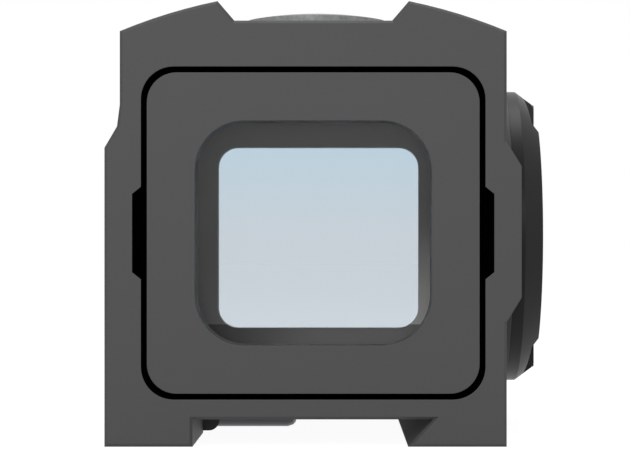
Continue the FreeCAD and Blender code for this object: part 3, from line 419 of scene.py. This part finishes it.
def endPiece(piece, body, material, node, rounding=0, angle=50):
    # soft edges, smooth shading, finish, the body that it rides on and the node that it stands for
    takeUp(piece)
    if rounding:
        bpy.ops.object.modifier_add(type="BEVEL")
        edge = piece.modifiers[-1]
        edge.width = rounding * mm
        edge.segments = 2
        edge.limit_method = "ANGLE"
        edge.angle_limit = radians(angle)
        bpy.ops.object.modifier_apply(modifier=edge.name)
    bpy.ops.object.shade_smooth_by_angle(angle=radians(30))
    piece.data.materials.clear()
    piece.data.materials.append(material)
    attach(piece, body)
    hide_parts(node)


# rubber buttons: thin flange under the cover, crowned cap with a moulded plus or minus
button = {"flange": 0.38, "flangeRadius": 3.5, "capRadius": 2.9, "markLong": 2.6, "markWide": 0.6,
          "markDeep": 0.26,
          # down from the top and in from the rim
          "crown": [(0.28, 0), (0.16, 0.14), (0.08, 0.7), (0.025, 1.4), (0, 2.2)]}
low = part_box("down_button")
at = middleOf(low)
rise = (low[1][0] - low[0][0]) / mm
minus = turnPiece("down_buttonRubber", (low[1][0], at[1], at[2]), (-1, 0, 0), [
    (0, button["flangeRadius"]), (button["flange"], button["flangeRadius"]),
    (button["flange"], button["capRadius"]),
    *[(rise - down, button["capRadius"] - inward) for down, inward in button["crown"]]])
top = Vector((low[0][0], at[1], at[2]))
bar = (2 * button["markDeep"] * mm, button["markLong"] * mm, button["markWide"] * mm)
cutAway(minus, blockCutter(top, bar))
step = Vector(middleOf(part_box("up_button"))) - Vector(at)
plus = copyPiece(minus, "up_buttonRubber", step)
cutAway(plus, blockCutter(top + step, (bar[0], bar[2], bar[1])))
endPiece(minus, "down_button", siliconeRubber, "down_button")
endPiece(plus, "up_button", siliconeRubber, "up_button")
print("buttons moulded")

# elevation dial: low crowned disc over the spindle's hub, with a fluted rim and a coin slot
dial = {"slotWide": 0.8, "slotDeep": 0.52, "rimLow": 0.12, "rimHigh": 0.42, "fluteDeep": 0.12, "flutes": 60,
        "hub": 2.23, "hubDeep": 0.92, "domeRise": 0.55, "foot": 0.3,
        "domeRings": [0.96, 0.85, 0.7, 0.5, 0.3, 0.1]}      # shares of the radius
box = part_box("elevation_dial")
at = middleOf(box)
radius = (box[1][0] - box[0][0]) / 2 / mm
rim = (box[1][2] - box[0][2]) / mm - dial["domeRise"]
dome = [(rim + dial["domeRise"] * (1 - ring ** 2), ring * radius) for ring in dial["domeRings"]]
knob = turnPiece("elevationDialKnob", (at[0], at[1], box[0][2]), (0, 0, 1), [
    (0, radius - dial["foot"]), (dial["rimLow"], radius), (dial["rimHigh"], radius), (rim, radius), *dome],
    sides=2 * dial["flutes"])
flute = 2 * pi / dial["flutes"]
pickFaces(knob, lambda centre, normal: abs(normal.z) < 0.1
          and box[0][2] + dial["rimLow"] * mm < centre.z < box[0][2] + dial["rimHigh"] * mm
          and (Vector((centre.x, centre.y)).angle_signed(Vector((1, 0))) / flute) % 1 < 0.5)
bpy.ops.mesh.extrude_faces_move(MESH_OT_extrude_faces_indiv={}, TRANSFORM_OT_shrink_fatten={
    "value": -dial["fluteDeep"] * mm})
editMode(False)
cutAway(knob, boreCutter((at[0], at[1], box[0][2]), dial["hub"] * mm, 2 * dial["hubDeep"] * mm, (0, 0, 1),
                         sides=64))
cutAway(knob, blockCutter((at[0], at[1], box[1][2]), (3 * radius * mm, dial["slotWide"] * mm,
                                                      2 * dial["slotDeep"] * mm)))
endPiece(knob, "elevation", dialPaintedLight, "elevation_dial", rounding=0.03)
print("elevation dial turned")

# guide pins in the jaw: ground pins with rounded tips
guidePin = {"edge": 0.15,
            # back from the end and in from the side
            "tip": [(0.7, 0), (0.266, 0.14), (0.084, 0.35), (0, 0.7)]}
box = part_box("jaw_guide_pins")
radius = (box[1][2] - box[0][2]) / 2 / mm
long = (box[1][0] - box[0][0]) / mm
left = turnPiece("guidePin", (box[0][0], box[0][1] + radius * mm, middleOf(box)[2]), (1, 0, 0), [
    (0, radius - guidePin["edge"]), (guidePin["edge"], radius),
    *[(long - back, radius - inward) for back, inward in guidePin["tip"]]])
right = copyPiece(left, "guidePin", (0, box[1][1] - box[0][1] - 2 * radius * mm, 0))
endPiece(joinPieces([left, right], "guidePins"), "jaw", groundPin, "jaw_guide_pins")

# keypad screws: pan heads with a hexagon socket, shanks below
keyScrew = {"head": 1.1, "headLong": 0.5, "shank": 0.68, "shankEdge": 0.2, "socket": 0.5, "socketDeep": 0.3,
            "pan": [(0.16, 0), (0.05, 0.14), (0, 0.4)]}          # mm down from the top, in from the side
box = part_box("keypad_screws")
long = (box[1][0] - box[0][0]) / mm
shoulder = long - keyScrew["headLong"]
firstAt = [box[0][axis] + keyScrew["head"] * mm for axis in (1, 2)]
across, upward = [box[1][axis] - box[0][axis] - 2 * keyScrew["head"] * mm for axis in (1, 2)]
screw = turnPiece("keyScrew", (box[1][0], *firstAt), (-1, 0, 0), [
    (0, keyScrew["shank"] - keyScrew["shankEdge"]), (keyScrew["shankEdge"], keyScrew["shank"]),
    (shoulder, keyScrew["shank"]), (shoulder, keyScrew["head"]),
    *[(long - down, keyScrew["head"] - inward) for down, inward in keyScrew["pan"]]], sides=32)
cutAway(screw, boreCutter((box[0][0], *firstAt), keyScrew["socket"] * mm, 2 * keyScrew["socketDeep"] * mm,
                          (1, 0, 0)))
screws = [screw] + [copyPiece(screw, "keyScrew", step)
                    for step in ((0, 0, upward), (0, across, 0), (0, across, upward))]
endPiece(joinPieces(screws, "keypadScrewSet"), "sight", blackOxide, "keypad_screws")
print("pins and keypad screws turned")

# clamp screw: black socket-head screw with a rolled thread, and a necked tip that the jaw's clip holds
clampScrew = {"head": 1.95, "headLong": 1.2, "thread": 1.25, "pitch": 0.45, "rootDepth": 0.16, "socket": 0.95,
              "socketDeep": 0.85, "chamfer": 0.18, "tip": 1.15, "tipLong": 0.55, "neck": 0.8, "clip": 0.35,
              "collar": 0.6, "tipEdge": 0.1}
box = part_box("clamp_screw")
at = middleOf(box)
long = (box[1][0] - box[0][0]) / mm
tip = clampScrew["tip"]
clipEnd = clampScrew["tipLong"] + clampScrew["clip"]
threadStart = clipEnd + clampScrew["collar"]
shoulder = long - clampScrew["headLong"]
steps = [(0, tip - clampScrew["tipEdge"]), (clampScrew["tipEdge"], tip), (clampScrew["tipLong"], tip),
         (clampScrew["tipLong"], clampScrew["neck"]), (clipEnd, clampScrew["neck"]), (clipEnd, tip),
         (threadStart, tip), (threadStart, clampScrew["thread"])]
for turn in range(int((shoulder - threadStart) / clampScrew["pitch"])):
    start = threadStart + turn * clampScrew["pitch"]
    steps += [(start + 0.5 * clampScrew["pitch"], clampScrew["thread"] - clampScrew["rootDepth"]),
              (start + clampScrew["pitch"], clampScrew["thread"])]
steps += [(shoulder, clampScrew["thread"]), (shoulder, clampScrew["head"]),
          (long - clampScrew["chamfer"], clampScrew["head"]),
          (long, clampScrew["head"] - clampScrew["chamfer"])]
screw = turnPiece("clampSocketScrew", (box[1][0], at[1], at[2]), (-1, 0, 0), steps, sides=48)
cutAway(screw, boreCutter((box[0][0], at[1], at[2]), clampScrew["socket"] * mm,
                          2 * clampScrew["socketDeep"] * mm, (1, 0, 0)))
endPiece(screw, "clamp_screw", blackOxide, "clamp_screw")

# purge screw: slotted, with a broken edge
purge = {"head": 1.5, "headLong": 0.77, "shank": 0.9, "shankEdge": 0.2, "edge": 0.15, "slotWide": 0.5,
         "slotDeep": 0.43, "rounding": 0.03}
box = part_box("purge_screw")
at = middleOf(box)
long = (box[1][0] - box[0][0]) / mm
shoulder = long - purge["headLong"]
screw = turnPiece("purgeSlotScrew", (box[1][0], at[1], at[2]), (-1, 0, 0), [
    (0, purge["shank"] - purge["shankEdge"]), (purge["shankEdge"], purge["shank"]),
    (shoulder, purge["shank"]), (shoulder, purge["head"]), (long - purge["edge"], purge["head"]),
    (long, purge["head"] - purge["edge"])], sides=48)
cutAway(screw, blockCutter((box[0][0], at[1], at[2]), (2 * purge["slotDeep"] * mm, 4 * purge["head"] * mm,
                                                      purge["slotWide"] * mm)))
endPiece(screw, "sight", blackOxide, "purge_screw", rounding=purge["rounding"], angle=35)
print("clamp and purge screws turned")

# coin cell: pressed can with a rolled edge and a shallow ring on its face, the smaller lid underneath
cell = {"lid": 9.1, "lidEdge": 0.2, "lidRise": 0.1, "step": 0.5, "roll": 0.3, "rollMid": 0.1, "ringOut": 1.1,
        "ringIn": 1.6, "ringSlope": 0.1, "ringDeep": 0.06}
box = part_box("battery_cell")
at = middleOf(box)
radius = (box[1][1] - box[0][1]) / 2 / mm
thick = (box[1][0] - box[0][0]) / mm
coin = turnPiece("coinCell", (box[0][0], at[1], at[2]), (1, 0, 0), [
    (0, cell["lid"] - cell["lidEdge"]), (cell["lidRise"], cell["lid"]), (cell["step"], cell["lid"]),
    (cell["step"], radius - cell["roll"]), (cell["step"] + cell["rollMid"], radius - cell["rollMid"]),
    (cell["step"] + cell["roll"], radius), (thick - cell["roll"], radius),
    (thick - cell["rollMid"], radius - cell["rollMid"]), (thick, radius - cell["roll"]),
    (thick, radius - cell["ringOut"]),
    (thick - cell["ringDeep"], radius - cell["ringOut"] - cell["ringSlope"]),
    (thick - cell["ringDeep"], radius - cell["ringIn"] + cell["ringSlope"]),
    (thick, radius - cell["ringIn"])],
    sides=96)
endPiece(coin, "sight", nickelPlate, "battery_cell")
print("coin cell pressed")


def shownWhite(owner):
    # 1 for what the camera, a reflection or clear glass looks at, 0 for light that falls on the object
    path = addNode(owner, "ShaderNodeLightPath")
    seen = addNode(owner, "ShaderNodeMath", {"operation": "ADD"}, {
        0: path.outputs["Is Camera Ray"], 1: path.outputs["Is Glossy Ray"]})
    return addNode(owner, "ShaderNodeMath", {"operation": "ADD", "use_clamp": True}, {
        0: seen.outputs[0], 1: path.outputs["Is Transmission Ray"]}).outputs[0]


studio = {
    "floorSize": 6.0,           # m
    "ambient": 0.55,            # strength of the surroundings
    "paper": 0.7,               # paleness of the floor as the object sees it
    "shadow": 0.13, "glow": 0.95,       # paleness and glow of the floor as the camera sees it, 1 together
    "keyPower": 0.9, "keySize": 0.2, "keyPlace": (-0.22, -0.42, 0.34),
    "fillPower": 0.25, "fillSize": 0.3, "fillPlace": (0.42, -0.30, 0.16),
    "topPower": 0.7, "topSize": 0.25, "topPlace": (0.02, 0.10, 0.45),
    "frontPower": 0.7, "frontSize": 0.12, "frontPlace": (-0.04, -0.50, 0.16),
}
middle = Vector(middleOf(cadBox))

bpy.ops.object.select_all(action="DESELECT")
bpy.ops.mesh.primitive_plane_add(size=studio["floorSize"], location=(0, 0, cadBox[0][2]))
floor = bpy.context.object
floor.name = "floor"
paper = startMaterial("whitePaperFloor")
matt = addNode(paper, "ShaderNodeBsdfDiffuse", {"Color": [studio["paper"]] * 3 + [1]})
pale = addNode(paper, "ShaderNodeBsdfDiffuse", {"Color": [studio["shadow"]] * 3 + [1]})
glow = addNode(paper, "ShaderNodeEmission", {"Strength": studio["glow"]})
lit = addNode(paper, "ShaderNodeAddShader", links={0: pale.outputs[0], 1: glow.outputs[0]})
endMaterial(paper, addNode(paper, "ShaderNodeMixShader", links={
    0: shownWhite(paper), 1: matt.outputs[0], 2: lit.outputs[0]}).outputs[0])
floor.data.materials.append(paper)

world = bpy.data.worlds.new("studioRoom")
bpy.context.scene.world = world
world.use_nodes = True
world.node_tree.nodes.clear()
room = addNode(world, "ShaderNodeBackground", {"Strength": studio["ambient"]})
white = addNode(world, "ShaderNodeBackground", {"Color": (1, 1, 1, 1), "Strength": 1.0})
both = addNode(world, "ShaderNodeMixShader", links={
    0: shownWhite(world), 1: room.outputs[0], 2: white.outputs[0]})
addNode(world, "ShaderNodeOutputWorld", links={"Surface": both.outputs[0]})


def addSoftbox(name, power, size, spot):
    bpy.ops.object.light_add(type="AREA", location=spot)
    lamp = bpy.context.object
    lamp.name = name
    lamp.data.energy = power
    lamp.data.size = size
    lamp.rotation_euler = (middle - Vector(spot)).to_track_quat("-Z", "Y").to_euler()


for side in ("key", "fill", "top", "front"):
    addSoftbox(side + "Softbox", studio[side + "Power"], studio[side + "Size"], studio[side + "Place"])

view = {
    "place": (1.74, -173.5, 11.56),     # mm
    "lens": 122.1, "sensor": 36,        # mm
    "shiftX": -23, "shiftY": 30, "width": 630,      # picture widths are 630
    "nearest": 0.01,                    # m
}
bpy.ops.object.camera_add(location=Vector(view["place"]) * mm, rotation=(radians(90), 0, 0))
camera = bpy.context.object
camera.data.lens = view["lens"]
camera.data.sensor_width = view["sensor"]
camera.data.shift_x = view["shiftX"] / view["width"]
camera.data.shift_y = view["shiftY"] / view["width"]
camera.data.clip_start = view["nearest"]
bpy.context.scene.camera = camera
bpy.context.scene.view_settings.view_transform = "Standard"
print("stage, lamps and camera placed")
